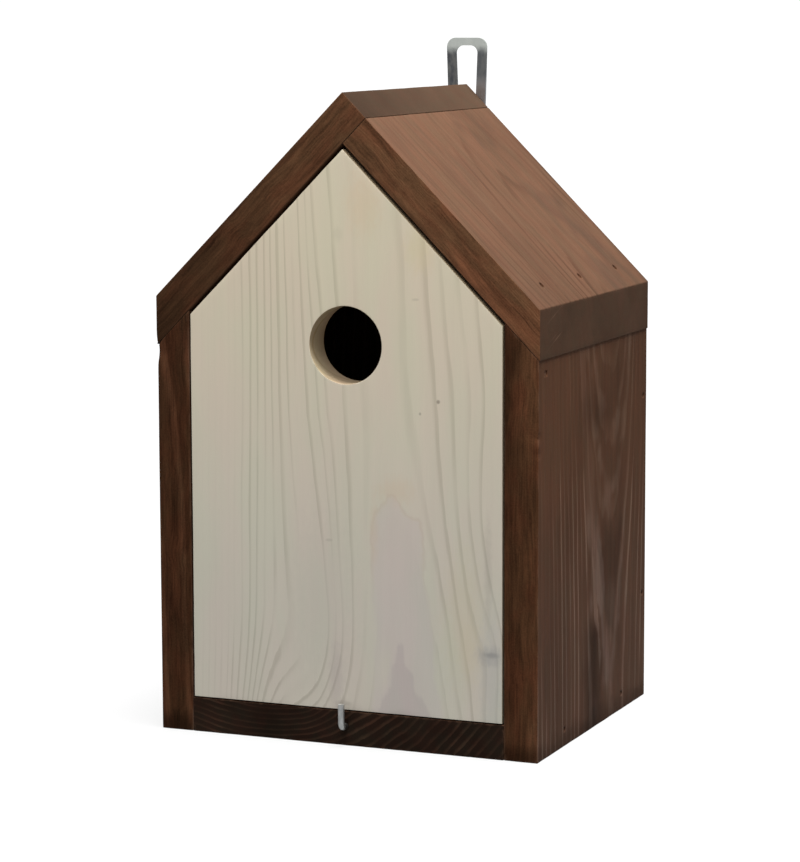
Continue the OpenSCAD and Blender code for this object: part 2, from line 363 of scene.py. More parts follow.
def right_wall_tone(u, v, w, broad, end):
    """Dark beside the foot of the arch and inside it, and lighter on the upper front part."""
    ragged = 2 * layered_noise(u, v, w, (6, 14, 6), 35)
    foot = bell(u + ragged, -0.5, 8.2) * (1 - soft_step(v + ragged, 42, 56))
    radius = wall_radius(u, v, w) + 0.2 * ragged
    tip = 0.5 * bell(wall_aside(u), 0, 7)
    inside = (1 - soft_step(radius - tip, 48.4, 49.4)) * (1 - soft_step(v + 2 * ragged, 82, 98))
    low = soft_step(v, 60, 20) * soft_step(u, -30, -50)
    top = soft_step(v, 90, 130) * soft_step(u, 20, -30)
    cloud = (bell(u + ragged, 8, 9) * bell(v + ragged, 146, 6)
             + 0.6 * bell(u, -8, 8) * bell(v, 150, 8)
             + 0.6 * bell(u + 2 * ragged, 36, 9) * bell(v + 2 * ragged, 158, 8)
             - 0.4 * bell(u + 2 * ragged, -4, 10) * bell(v + 2 * ragged, 168, 5))
    outer = soft_step(w + 0.8 * ragged, 9, 4) - soft_step(w + 0.8 * ragged, 9, 14)
    return foot_tone(u, v, w, broad, end) * (
        1 + (0.17 * top - 0.54 * foot - 0.30 * inside - 0.28 * cloud - 0.07 * low) * broad
        + (0.06 + 0.14 * outer + (0.10 + 0.50 * outer) * bell(v, 168, 20)) * (1 - broad - end))


def panel_tone(u, v, w, broad, end):
    """Darker round the outer edges, bare wood where the paint ends and painted shade on the arrises,
    but not in the hole.
    """
    hole = soft_step(np.hypot(u - 1, v - 182), 26, 22)
    # Strongest on the rounded arris: painted shade that hides its highlight and darkens it towards the
    # gaps beside the panel.
    arris = soft_step(1 - broad, 0.02, 0.30) - 0.75 * soft_step(1 - broad, 0.65, 0.95)
    return 1 - 0.55 * arris * (1 - hole)


def left_wall_tone(u, v, w, broad, end):
    """Its edges are darker than the right wall's."""
    return foot_tone(u, v, w, broad, end) * (1 - 0.18 * (1 - broad))


def right_roof_tone(u, v, w, broad, end):
    """Pale streaks near the front, and a darker stain towards the rear of the ridge."""
    side = 1 - broad - end
    lower = v / ROOF_FADE
    drift = u + 1.5 * layered_noise(u, v, w, (12, 40, 12), 66)
    pale = sum(bell(drift, place, 1.4) for place in (-50, -44, -31)) * bell(v, 70, 42)
    rear = soft_step(u, 0, 60) * soft_step(v, 90, 10)
    rim = soft_step(u + 1.2 * layered_noise(u, v, w, (6, 14, 6), 67), 68, 72)
    eave = 4 * broad * end * soft_step(u, -20, 60)
    return (1 + (0.14 - 0.20 * lower + 0.07 * pale - 0.09 * rear - 0.14 * rim) * broad
            + 0.20 * lower * side - 0.07 * eave)


def left_roof_tone(u, v, w, broad, end):
    """Its edges took more stain than the right board's, and most of it low down."""
    side = 1 - broad - end
    lower = v / ROOF_FADE
    return (1 + (0.14 - 0.20 * lower) * broad - (0.03 + 0.57 * lower) * side
            - (0.02 + 0.0035 * u) * end)


def floor_tone(u, v, w, broad, end):
    """Blotchy ends, lighter near the front one's left corner."""
    cloud = layered_noise(u, v, w, (9, 40, 5), 56)
    light = bell(u, -64, 6) * bell(w, 5, 4) + 0.5 * bell(u, 10, 7) * bell(w, 11, 5)
    return 1 + (0.13 * cloud + 0.16 * light - 0.13 * bell(u, -26, 24) - 0.12 * bell(u, 34, 12)) * end


X, Y, Z = Vector((1, 0, 0)), Vector((0, 1, 0)), Vector((0, 0, 1))
DOWN_RIGHT = Vector((SLOPE.x, 0, -SLOPE.z))
DOWN_LEFT = Vector((-SLOPE.x, 0, -SLOPE.z))

BOARDS = [
    Board("front_panel", (0, FRONT, 0), X, Z, Y, panel_rings, panel_strength,
          panel_heart, panel_tone),
    Board("right_wall", (HALF_W, 0, 0), Y, Z, -X, wall_rings, wall_strength,
          wall_arch, right_wall_tone),
    Board("left_wall", (-HALF_W, 0, 0), -Y, Z, X, plain_rings, plain_strength,
          no_figure, left_wall_tone),
    Board("back_panel", (0, BACK, 0), -X, Z, -Y, plain_rings, plain_strength,
          no_figure, foot_tone),
    Board("floor_board", (0, 0, 0), X, Y, Z, floor_rings, floor_strength,
          no_figure, floor_tone),
    Board("right_roof_board", (0, 0, RIDGE), Y, DOWN_RIGHT, DOWN_LEFT, roof_rings,
          roof_strength, roof_patches, right_roof_tone),
    Board("left_roof_board", (0, 0, RIDGE), -Y, DOWN_LEFT, DOWN_RIGHT, plain_rings,
          roof_strength, roof_patches, left_roof_tone),
]


def vertex_array(mesh, field, width):
    """A field of the mesh's vertices, one row a vertex."""
    data = np.zeros(len(mesh.vertices) * width)
    mesh.vertices.foreach_get(field, data)
    return data.reshape(-1, width)


def large_planes(bm):
    """The planes of the large faces, each once, as its normal and its distance from the origin."""
    planes = {}
    for face in bm.faces:
        if face.calc_area() > LARGE_FACE:
            normal = face.normal.copy()
            distance = normal.dot(face.verts[0].co)
            planes[tuple(round(n, 2) for n in (*normal, distance / MM))] = (normal, distance)
    return list(planes.values())


def distance_to_arris(points, planes):
    """Millimetres from each point to the nearest long edge: the second nearest face plane."""
    away = np.stack([abs(points @ np.array(n) - d) for n, d in planes], axis=1)
    return np.sort(away, axis=1)[:, 1] / MM


def give(mesh, name, values):
    """Stores a number or a vector for each vertex, for the materials to read."""
    kind, key = ("FLOAT", "value") if values.ndim == 1 else ("FLOAT_VECTOR", "vector")
    layer = mesh.attributes.new(name, kind, "POINT")
    layer.data.foreach_set(key, np.ascontiguousarray(values, np.float32).ravel())


RING_RELIEF = 0.05
SAW_RELIEF = 0.10
ARRIS_WEAR = 0.25


def relief(board, places, rings, end, edge):
    """How deep the surface lies under the planed one, in millimetres: never above it."""
    u, v, w = places.T
    ridges = RING_RELIEF * (0.5 - 0.5 * np.cos(2 * math.pi * rings)) * (1 - soft_step(end, 0.3, 0.7))
    sawn = SAW_RELIEF * (1 + value_noise(places / (5, 5, 1.5), 91)) / 2 * end
    worn = soft_step(layered_noise(u, v, w, (14, 22, 14), 93), -0.2, 1.2)
    rounding = 1 - soft_step(edge, 0, 0.85 * board.arris / MM)
    return ridges + sawn + ARRIS_WEAR * board.arris / MM * worn * rounding


# Knocks on the front arrises: place in the frame, half size and depth, all in millimetres.
KNOCKS = [
    ((HALF_W / MM, FRONT / MM, 145.2), (2.0, 2.0, 1.5), 0.8),
    ((HALF_W / MM, FRONT / MM, 137.8), (2.0, 2.0, 1.2), 0.6),
    ((-HALF_W / MM, FRONT / MM, 176.0), (2.5, 2.5, 4.0), 1.0),
]


def dents(points):
    """How deep the knocks on the arrises go at each point, in millimetres."""
    deep = np.zeros(len(points))
    for place, size, depth in KNOCKS:
        away = (points / MM - np.array(place)) / np.array(size)
        deep = np.maximum(deep, depth * np.exp(-(away**2).sum(axis=1)))
    return deep


def cut_board(board):
    """The board's mesh, rounded along its arrises and cut finely, and its large face planes."""
    bm = joined_solid(board.node)
    planes = large_planes(bm)
    shortest = 0 if board.node == "front_panel" else SHORT_EDGE
    bmesh.ops.bevel(
        bm, geom=sharp_edges(bm, shortest), offset=board.arris, offset_type="OFFSET",
        segments=3, profile=0.5, affect="EDGES", clamp_overlap=True,
    )
    across, along, into = board.axes
    slice_along(bm, across, GRID)
    slice_along(bm, into, GRID_DEEP)
    slice_along(bm, along, GRID)
    bmesh.ops.remove_doubles(bm, verts=bm.verts, dist=SLIVER)
    bmesh.ops.triangulate(bm, faces=[f for f in bm.faces if len(f.verts) > 4])
    mesh = bpy.data.meshes.new(board.node + "_wood")
    bm.to_mesh(mesh)
    bm.free()
    return mesh, planes


def lay_grain(board, mesh, planes):
    """Stores the grain at each vertex and lowers the surface by its relief."""
    points = vertex_array(mesh, "co", 3)
    normals = np.array([n.vector for n in mesh.vertex_normals])
    places = board.places(points)
    u, v, w = places.T
    along, into = (np.array(axis) for axis in board.axes[1:])
    end, broad = abs(normals @ along), abs(normals @ into)
    edge = distance_to_arris(points, planes)
    rings = board.rings(u, v, w)
    sunk = relief(board, places, rings, end, edge) + dents(points)
    low, high = (np.array(corner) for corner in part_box(board.node))
    lowered = np.clip(points - normals * sunk[:, None] * MM, low, high)
    mesh.vertices.foreach_set("co", lowered.ravel())
    give(mesh, "grain", places)
    give(mesh, "ring", rings)
    give(mesh, "late", np.clip(board.strength(u, v, w, rings), 0, 1.6))
    give(mesh, "figure", board.figure(u, v, w, rings))
    give(mesh, "end", end)
    give(mesh, "broad", broad)
    give(mesh, "edge", edge)
    give(mesh, "tone", board.tone(u, v, w, broad**2, end**2))


def build_board(board, body, slot, material):
    """Puts the finished board in its CAD node's place."""
    mesh, planes = cut_board(board)
    lay_grain(board, mesh, planes)
    mesh.materials.append(material)
    for polygon in mesh.polygons:
        polygon.use_smooth = True
    mesh.set_sharp_from_angle(angle=CREASE)
    piece = bpy.data.objects.new(mesh.name, mesh)
    flat = piece.modifiers.new("flat_faces", "WEIGHTED_NORMAL")
    flat.mode = "FACE_AREA"
    flat.weight = 100
    flat.keep_sharp = True
    bpy.context.scene.collection.objects.link(piece)
    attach(piece, body)
    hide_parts(board.node)


# ---------------------------------------------------------------- node trees


class Val:
    """A number that varies over the surface, as a socket that does arithmetic."""

    def __init__(self, tree, socket):
        self.tree = tree
        self.socket = socket

    def math(self, operation, *others):
        node = self.tree.nodes.new("ShaderNodeMath")
        node.operation = operation
        for n, value in enumerate((self, *others)):
            plug(self.tree, node.inputs[n], value)
        return Val(self.tree, node.outputs[0])

    def __add__(self, other):
        return self.math("ADD", other)

    def __sub__(self, other):
        return self.math("SUBTRACT", other)

    def __mul__(self, other):
        return self.math("MULTIPLY", other)

    __radd__ = __add__
    __rmul__ = __mul__

    def turned(self):
        """1 less this."""
        return (self * -1) + 1

    def step(self, low, high):
        """0 at low and 1 at high, smooth between them."""
        node = self.tree.nodes.new("ShaderNodeMapRange")
        node.interpolation_type = "SMOOTHSTEP"
        plug(self.tree, node.inputs["Value"], self)
        node.inputs["From Min"].default_value = low
        node.inputs["From Max"].default_value = high
        return Val(self.tree, node.outputs["Result"])


def plug(tree, socket, value):
    """Links a socket to a socket or a Val, or sets it to a number or a colour."""
    if isinstance(value, Val):
        tree.links.new(value.socket, socket)
    elif isinstance(value, bpy.types.NodeSocket):
        tree.links.new(value, socket)
    elif hasattr(value, "__len__") and len(value) == 3 and socket.type == "RGBA":
        socket.default_value = (*value, 1)
    else:
        socket.default_value = value


def mixed(tree, share, first, second, blend="MIX"):
    """Colour first turning to second as share goes from 0 to 1."""
    node = tree.nodes.new("ShaderNodeMix")
    node.data_type = "RGBA"
    node.blend_type = blend
    plug(tree, node.inputs[0], share)
    plug(tree, node.inputs[6], first)
    plug(tree, node.inputs[7], second)
    return node.outputs[2]


def times(tree, first, second):
    """Two colours multiplied."""
    return mixed(tree, 1.0, first, second, "MULTIPLY")


def stored(tree, name):
    """The outputs of a layer that lay_grain stored on the mesh."""
    node = tree.nodes.new("ShaderNodeAttribute")
    node.attribute_name = name
    return node.outputs


def stored_number(tree, name):
    return Val(tree, stored(tree, name)["Fac"])


def xyz(tree, vector):
    """The three parts of a vector."""
    node = tree.nodes.new("ShaderNodeSeparateXYZ")
    tree.links.new(vector, node.inputs[0])
    return [Val(tree, output) for output in node.outputs]


def vector_math(tree, operation, first, second):
    node = tree.nodes.new("ShaderNodeVectorMath")
    node.operation = operation
    tree.links.new(first, node.inputs[0])
    if isinstance(second, bpy.types.NodeSocket):
        tree.links.new(second, node.inputs[1])
    else:
        node.inputs[1].default_value = second
    return node.outputs[0]


def stretched(tree, vector, per_unit):
    """The vector times a number along each axis."""
    return vector_math(tree, "MULTIPLY", vector, per_unit)


def noise(tree, vector, per_unit, detail=2.0, roughness=0.5, offset=0.0):
    """Noise from 0 to 1, with so many cells a unit along each axis."""
    node = tree.nodes.new("ShaderNodeTexNoise")
    node.noise_dimensions = "3D"
    place = vector_math(tree, "ADD", stretched(tree, vector, per_unit), (offset, offset, offset))
    tree.links.new(place, node.inputs["Vector"])
    node.inputs["Scale"].default_value = 1
    node.inputs["Detail"].default_value = detail
    node.inputs["Roughness"].default_value = roughness
    return Val(tree, node.outputs["Fac"])


def new_material(name):
    """A material, its node tree and its shader node."""
    material = bpy.data.materials.new(name)
    material.use_nodes = True
    tree = material.node_tree
    shader = tree.nodes["Principled BSDF"]
    return material, tree, shader


def bump(tree, height, distance):
    """A normal for a relief whose height is in units of this distance."""
    node = tree.nodes.new("ShaderNodeBump")
    node.inputs["Strength"].default_value = 1
    node.inputs["Distance"].default_value = distance
    plug(tree, node.inputs["Height"], height)
    return node.outputs["Normal"]


# ---------------------------------------------------------------- wood


def grey(tree, value):
    """The same value in red, green and blue."""
    node = tree.nodes.new("ShaderNodeCombineColor")
    for n in range(3):
        plug(tree, node.inputs[n], value)
    return node.outputs[0]


def spot(tree, grain, place, size, ragged, soft=0.5):
    """1 at a place on a board's face and 0 outside an oval of this half width and height."""
    away = vector_math(tree, "SUBTRACT", grain, (*place, 0))
    scaled = stretched(tree, away, (1 / size[0], 1 / size[1], 0.02))
    length = tree.nodes.new("ShaderNodeVectorMath")
    length.operation = "LENGTH"
    tree.links.new(scaled, length.inputs[0])
    reach = Val(tree, length.outputs["Value"])
    edge = noise(tree, grain, (0.5, 0.25, 0.5), 3, 0.6, offset=place[0])
    reach = reach + (edge - 0.5) * ragged
    return reach.step(1 - soft, 1 + soft).turned()


SCRATCH_SLANT = math.radians(19)


class Grain:
    """The parts that every wood here is mixed from."""

    def __init__(self, tree, seed, late):
        self.tree = tree
        self.grain = stored(tree, "grain")["Vector"]
        end, broad = stored_number(tree, "end"), stored_number(tree, "broad")
        self.end, self.broad = end.step(0.35, 0.9), broad.step(0.35, 0.9)
        self.edge = stored_number(tree, "edge")
        self.tone = stored_number(tree, "tone")
        waver = self.noise((0.7, 0.012, 0.7), 2, seed)
        phase = (stored_number(tree, "ring") + (waver - 0.5) * 0.16).math("FRACT")
        strength = stored_number(tree, "late")
        self.late = phase.step(*late) * phase.step(0.93, 1.0).turned() * strength
        self.band = self.late * end.step(0.5, 0.68).turned()
        self.figure = stored_number(tree, "figure")
        self.side = (self.broad + self.end).math("MINIMUM", 1).turned()
        along = self.end.turned()
        self.place = self.grain
        self.grain = self.wavering(self.grain, seed + 3)
        self.fibre = (self.noise((1.9, 0.011, 1.9), 3, seed + 7, 0.6) - 0.5) * (along * 0.6 + 0.4)
        self.streak = (self.noise((0.30, 0.004, 0.30), 3, seed + 11, 0.6) - 0.5) * (along * 0.8 + 0.2)
        self.hair = self.noise((1.2, 0.04, 1.2), 3, seed + 17, 0.6) - 0.5
        self.patch = self.noise((0.20, 0.03, 0.20), 3, seed + 29, 0.6) - 0.5
        self.blotch = self.noise((0.035, 0.012, 0.035), 2, seed + 13) - 0.5
        self.speck = self.noise((1.6, 1.6, 1.6), 2, seed + 19) - 0.5

    def wavering(self, grain, offset):
        """The grain's places pushed to and fro across it, so that the fibres aren't dead straight."""
        tree = self.tree
        drift = tree.nodes.new("ShaderNodeTexNoise")
        tree.links.new(stretched(tree, grain, (0.028, 0.028, 0.028)), drift.inputs["Vector"])
        drift.inputs["Scale"].default_value = 1
        drift.inputs["Detail"].default_value = 3
        drift.inputs["Distortion"].default_value = 0.02 * offset
        push = stretched(tree, drift.outputs["Color"], (5, 0, 5))
        return vector_math(tree, "SUBTRACT", vector_math(tree, "ADD", grain, push), (2.5, 0, 2.5))

    def tinted(self, colour, offset, amount):
        """The colour turned reddish in some patches and olive in others."""
        field = self.noise((0.11, 0.04, 0.11), 3, offset, 0.6)
        tint = mixed(self.tree, field.step(0.36, 0.64), (1.14, 0.94, 0.90), (0.94, 1.03, 0.98))
        return mixed(self.tree, amount, colour, times(self.tree, colour, tint))

    def noise(self, cells, detail, offset, roughness=0.5):
        return noise(self.tree, self.grain, cells, detail, roughness, offset)

    def sawn(self, seed):
        """Fine scratches on a plumb-cut end, slanting up towards the rear, in its front half."""
        across, along, into = xyz(self.tree, self.place)
        down = (along + into) * PITCH_SINE
        sine, cosine = math.sin(SCRATCH_SLANT), math.cos(SCRATCH_SLANT)
        turned = self.tree.nodes.new("ShaderNodeCombineXYZ")
        plug(self.tree, turned.inputs[0], across * sine + down * cosine)
        plug(self.tree, turned.inputs[1], across * cosine - down * sine)
        scratch = noise(self.tree, turned.outputs[0], (0.55, 0.04, 1), 1, 0.5, seed).step(0.64, 0.78)
        across = xyz(self.tree, self.grain)[0]
        return scratch * across.step(-34, -48) * across.step(-73, -67)

    def up(self, low, high):
        """0 at one place along the board and 1 at another."""
        return xyz(self.tree, self.grain)[1].step(low, high)

    def by_face(self, faces, edges, ends):
        """The wood's own colour. Each argument is a pair, of earlywood and latewood."""
        broad, edge = (mixed(self.tree, self.band, *pair) for pair in (faces, edges))
        end = mixed(self.tree, self.late, *ends)
        return mixed(self.tree, self.end, mixed(self.tree, self.broad, edge, broad), end)


NAIL_STAIN = (0.28, 0.18, 0.13)


def stained_wood(name, faces, edges, ends, late, seed, figure=None, fibre=0.30,
                 bounce_tint=None, scratched=0.0, end_tint=0.0, nails=()):
    """Planed softwood under a brown stain, lighter along its arrises from wear and a painted
    highlight.
    """
    material, tree, shader = new_material(name)
    g = Grain(tree, seed, late)
    colour = g.by_face(faces, edges, ends)
    if figure:
        colour = mixed(tree, g.figure * g.broad, colour, figure)
    # Painted light: broad faces are drawn bluer towards the foot, for light bounced up from the floor.
    if bounce_tint:
        colour = mixed(tree, g.up(20, 150).turned() * g.broad, colour, times(tree, colour, bounce_tint))
    colour = g.tinted(colour, seed + 41, g.side * 0.30 + g.end * end_tint + 0.30)
    for place in nails:
        mark = spot(tree, g.place, place, (1.5, 1.4), ragged=0.5, soft=0.4)
        colour = mixed(tree, mark * g.broad * 0.85, colour, times(tree, colour, NAIL_STAIN))
    broad = g.side.turned()
    shade = (g.fibre * (broad * 0.8 + 1.2) * fibre + g.streak * (broad * 0.4 + 0.6) * 0.5
             + (g.hair * 1.4 + g.patch * 1.5) * g.side + g.blotch * 0.5
             + g.speck * (g.side * 0.6 + 0.16) + 1)
    if scratched:
        saw = g.sawn(seed + 31) * g.end * g.broad * scratched
        colour = mixed(tree, saw, colour, tuple(c * 2.6 for c in ends[0]))
    colour = times(tree, colour, grey(tree, shade * g.tone))
    # Lighter patches along the arrises: worn stain, and a painted highlight on the rounded arris.
    arris_wear_and_highlight = g.edge.step(0.1, 1.1).turned() * g.noise((0.25, 0.08, 0.25), 3, seed + 23).step(0.45, 0.65)
    colour = mixed(tree, arris_wear_and_highlight * 0.22, colour, tuple(c * 1.6 for c in faces[1]))
    plug(tree, shader.inputs["Base Color"], colour)
    plug(tree, shader.inputs["Roughness"], g.fibre * 0.3 + g.band * 0.06 + 0.6)
    shader.inputs["Specular IOR Level"].default_value = 0.02
    height = g.band * 0.5 + g.fibre * 1.1 + g.speck * 0.15
    plug(tree, shader.inputs["Normal"], bump(tree, height, 0.10 * MM))
    return material


# Marks on the painted panel, in millimetres across from its middle and up from the floor
# board's underside: the place, the half width and height, and how strong the mark is.
KNOT = (70.0, 46.5)
SPECKS = [
    ((45.5, 158.7), (0.8, 0.9), 0.50),
    ((36.8, 153.0), (0.5, 0.6), 0.35),
    ((34.7, 203.5), (1.6, 0.6), 0.14),
    ((-7.5, 93.8), (1.6, 0.6), 0.14),
    ((-2.5, 231.5), (2.2, 3.0), 0.06),
    # A painted shadow: a dark dash across the top of the hook's arm, where the arm stands off the
    # panel.
    ((-0.5, 19.5), (3.5, 1.0), 0.12),
]
PEACH = (0.70, 0.55, 0.39)
YELLOW = (0.68, 0.60, 0.38)
VIOLET = (0.40, 0.34, 0.32)
BLUISH = (0.44, 0.46, 0.45)
BROWN = (0.36, 0.31, 0.26)
# Soft stains: the place, the half width and height, the strength and the colour.
STAINS = [
    ((10, 245), (7, 12), 0.40, PEACH),
    ((37, 226), (6, 9), 0.40, YELLOW),
    ((25, 118), (8, 5), 0.35, PEACH),
    ((14.5, 99), (1.8, 12), 0.30, PEACH),
    ((57, 62), (8, 26), 0.30, YELLOW),
    ((60, 48), (4, 12), 0.25, YELLOW),
    ((-10, 70), (14, 34), 0.10, VIOLET),
    ((-4, 31), (3.2, 13), 0.24, VIOLET),
    ((71, 34), (4.6, 28), 0.26, BLUISH),
    ((69, 84), (1.6, 20), 0.20, BROWN),
    (KNOT, (5.5, 3.6), 0.34, (0.30, 0.30, 0.29)),
    ((KNOT[0] + 0.5, KNOT[1] + 0.6), (3.2, 1.0), 0.30, (0.16, 0.16, 0.16)),
]


def painted_wood(name, faces, edges, ends, seed):
    """A thin cream paint that lets the grain of the wood through."""
    material, tree, shader = new_material(name)
    g = Grain(tree, seed, (0.60, 0.90))
    colour = g.by_face(faces, edges, ends)

    violet = times(tree, colour, (0.955, 0.925, 1.0))
    colour = mixed(tree, g.figure.math("MINIMUM", 1) * g.broad * 0.75, colour, violet)
    core = times(tree, colour, (0.905, 0.895, 0.92))
    colour = mixed(tree, g.figure.step(1.1, 2.1) * g.broad, colour, core)
    brim = g.figure.step(0.1, 0.45) * g.figure.step(0.5, 0.95).turned()
    colour = mixed(tree, brim * g.broad * g.up(60, 95) * 0.20, colour, (0.56, 0.43, 0.30))
    for place, size, strength, stain in STAINS:
        mark = spot(tree, g.place, place, size, ragged=1.6, soft=0.75)
        colour = mixed(tree, mark * g.broad * strength, colour, stain)
    for place, size, strength in SPECKS:
        mark = spot(tree, g.place, place, size, ragged=1.0)
        colour = mixed(tree, mark * strength, colour, (0.08, 0.06, 0.045))

    # Painted light: the panel is drawn darker and bluer towards its foot, for bluish light bounced up
    # from below, and warmer higher up.
    foot = mixed(tree, g.up(40, 250), (0.88, 0.915, 1.01), (1.005, 0.985, 0.975))
    colour = times(tree, colour, foot)
    clouds = g.noise((0.06, 0.015, 0.06), 3, seed + 37)
    tint = mixed(tree, clouds.step(0.28, 0.72), (1.025, 0.98, 0.965), (0.985, 1.005, 0.955))
    colour = times(tree, colour, tint)
    shade = (g.fibre * 0.05 + g.streak * 0.04 + g.blotch * 0.06 + g.speck * 0.015
             + g.hair * g.side * 0.3 + 1)
    colour = times(tree, colour, grey(tree, shade * g.tone))
    plug(tree, shader.inputs["Base Color"], colour)
    plug(tree, shader.inputs["Roughness"], g.fibre * 0.25 + g.blotch * 0.15 + 0.58)
    shader.inputs["Specular IOR Level"].default_value = 0.05
    plug(tree, shader.inputs["Normal"], bump(tree, g.band * 0.30 + g.fibre * 0.5, 0.07 * MM))
    return material


def eave_nail_places():
    """Across, and down the slope from the ridge, in millimetres: the same on both roof boards."""
    boxes = [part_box(name) for name in sorted(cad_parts) if name.startswith("right_eave_nail")]
    middles = [(low + high) / 2 / MM for low, high in boxes]
    return [(middle.y, middle.x / SLOPE.x) for middle in middles]


PANEL = painted_wood(
    "panel_wood", ((0.702, 0.638, 0.505), (0.597, 0.541, 0.421)),
    ((0.52, 0.42, 0.28), (0.44, 0.33, 0.20)), ((0.48, 0.38, 0.25), (0.36, 0.27, 0.17)), seed=1.0)
WALLS = stained_wood(
    "carcass_wood", ((0.076, 0.036, 0.020), (0.136, 0.078, 0.050)),
    ((0.064, 0.027, 0.013), (0.100, 0.045, 0.023)),
    ((0.040, 0.021, 0.013), (0.028, 0.014, 0.009)), late=(0.58, 0.88), figure=(0.128, 0.074, 0.050),
    bounce_tint=(0.98, 1.105, 1.30), seed=31.0)
ROOF = stained_wood(
    "roof_wood", ((0.100, 0.053, 0.032), (0.074, 0.038, 0.023)),
    ((0.118, 0.054, 0.027), (0.080, 0.036, 0.018)),
    ((0.060, 0.036, 0.023), (0.056, 0.033, 0.021)), late=(0.55, 0.90), figure=(0.080, 0.044, 0.028),
    fibre=0.24, scratched=1.25, nails=eave_nail_places(), seed=51.0)
FLOOR = stained_wood(
    "floor_wood", ((0.060, 0.028, 0.015), (0.110, 0.058, 0.036)),
    ((0.060, 0.028, 0.015), (0.090, 0.045, 0.026)),
    ((0.0200, 0.0122, 0.0086), (0.046, 0.0265, 0.0175)), late=(0.5, 0.85), fibre=0.5, end_tint=0.6,
    seed=71.0)

FINISH = {
    "front_panel": ("front", "panel_wood", PANEL),
    "right_wall": ("house", "carcass_wood", WALLS),
    "left_wall": ("house", "carcass_wood", WALLS),
    "back_panel": ("house", "carcass_wood", WALLS),
    "floor_board": ("house", "floor_wood", FLOOR),
    "right_roof_board": ("house", "roof_wood", ROOF),
    "left_roof_board": ("house", "roof_wood", ROOF),
}
for board in BOARDS:
    build_board(board, *FINISH[board.node])


# ---------------------------------------------------------------- metal


def plated(name, cells, rough):
    """Zinc plating with cloudy patches and fine scratches, which still lacks its colour."""
    material, tree, shader = new_material(name)
    place = tree.nodes.new("ShaderNodeTexCoord").outputs["Object"]
    cloud = noise(tree, place, cells, 3, 0.6)
    scratch = noise(tree, place, (2600, 2600, 160), 2, 0.5, offset=5)
    shader.inputs["Metallic"].default_value = 1
    plug(tree, shader.inputs["Roughness"], (scratch - 0.5) * 0.25 + (cloud - 0.5) * 0.2 + rough)
    plug(tree, shader.inputs["Normal"], bump(tree, scratch * 0.5 + cloud, 0.05 * MM))
    return material, tree, shader.inputs["Base Color"], cloud, xyz(tree, place)


def patchy_zinc(tree, cloud):
    """The colour of plain plating."""
    return mixed(tree, cloud.step(0.3, 0.7), (0.52, 0.53, 0.52), (0.78, 0.79, 0.77))


def screw_zinc():
    """Plain plating."""
    material, tree, colour, cloud, _ = plated("zinc_steel", (260, 260, 120), 0.42)
    plug(tree, colour, patchy_zinc(tree, cloud))
    return material


def hook_zinc(arm_back):
    """Bright on the arm, and dark on the screw behind it."""
    material, tree, colour, cloud, place = plated("hook_zinc", (260, 260, 120), 0.42)
    screw = place[1].step(arm_back - 0.5 * MM, arm_back + 0.5 * MM)
    plug(tree, colour, mixed(tree, screw, patchy_zinc(tree, cloud), (0.17, 0.155, 0.14)))
    return material


def hanger_zinc(top):
    """The strip's zinc is bright near its top end, a painted reflection, and dull lower down."""
    material, tree, colour, cloud, place = plated("hanger_zinc", (330, 330, 150), 0.40)
    right = place[0].step(0, 2 * MM)
    height = place[2] + (cloud - 0.5) * 0.004
    low = height.step(top - 16 * MM, top - 24 * MM) * right
    # Painted reflection: the band near the top end is drawn bright, as the light from above would
    # glint on it.
    painted_top_reflection = height.step(top - 8.5 * MM, top - 3.5 * MM)
    dull = mixed(tree, cloud.step(0.36, 0.62), (0.12, 0.13, 0.145), (0.24, 0.245, 0.24))
    dull = mixed(tree, right * 0.35, dull, (0.26, 0.28, 0.29))
    dull = mixed(tree, low, dull, (0.47, 0.47, 0.48))
    plug(tree, colour, mixed(tree, painted_top_reflection, dull, (0.86, 0.91, 0.86)))
    return material


def stained_head(name, colour, dark):
    """A nail head that the wood stain has run over."""
    material, tree, shader = new_material(name)
    place = tree.nodes.new("ShaderNodeTexCoord").outputs["Object"]
    cloud = noise(tree, place, (900, 900, 900), 3, 0.6)
    plug(tree, shader.inputs["Base Color"], mixed(tree, cloud.step(0.3, 0.7), dark, colour))
    plug(tree, shader.inputs["Roughness"], cloud * 0.2 + 0.55)
    shader.inputs["Specular IOR Level"].default_value = 0.1
    plug(tree, shader.inputs["Normal"], bump(tree, cloud, 0.05 * MM))
    return material


# The hook is as wide as its wire is thick, so its arm ends that far behind its front.
hook_lo, hook_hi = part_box("latch_hook")
HOOK = hook_zinc(hook_lo.y + hook_hi.x - hook_lo.x)
HANGER = hanger_zinc(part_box("hanger_plate")[1].z)
SCREW = screw_zinc()
ROOF_NAIL = stained_head("roof_nail", (0.050, 0.022, 0.014), (0.026, 0.012, 0.008))
# Painted light: the wall nails' heads are drawn lighter than the stain round them, to lift the shade
# in their sunken holes.
WALL_NAIL = stained_head("wall_nail", (0.190, 0.098, 0.060), (0.140, 0.070, 0.042))
METAL_ARRIS = 0.2 * MM
METAL_CORNER = math.radians(40)


def metal_finish(node):
    """The material of a CAD node that isn't a board."""
    if node == "hanger_plate":
        return HANGER
    if node == "latch_hook":
        return HOOK
    if "nail" in node:
        return ROOF_NAIL if "eave" in node or "ridge" in node else WALL_NAIL
    return SCREW


for name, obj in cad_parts.items():
    if obj.hide_render:
        continue
    obj.data.materials.clear()
    obj.data.materials.append(metal_finish(name))
    if "nail" not in name:
        rounded = obj.modifiers.new("rounded", "BEVEL")
        rounded.width = METAL_ARRIS
        rounded.segments = 2
        rounded.limit_method = "ANGLE"
        rounded.angle_limit = METAL_CORNER


# ---------------------------------------------------------------- floor, light and camera

FLAT_REACH = 5.5
FLOOR_REACH = 9.0
RIM_HEIGHT = 7.0
CURVE_STEPS = 12
SPIN_STEPS = 96


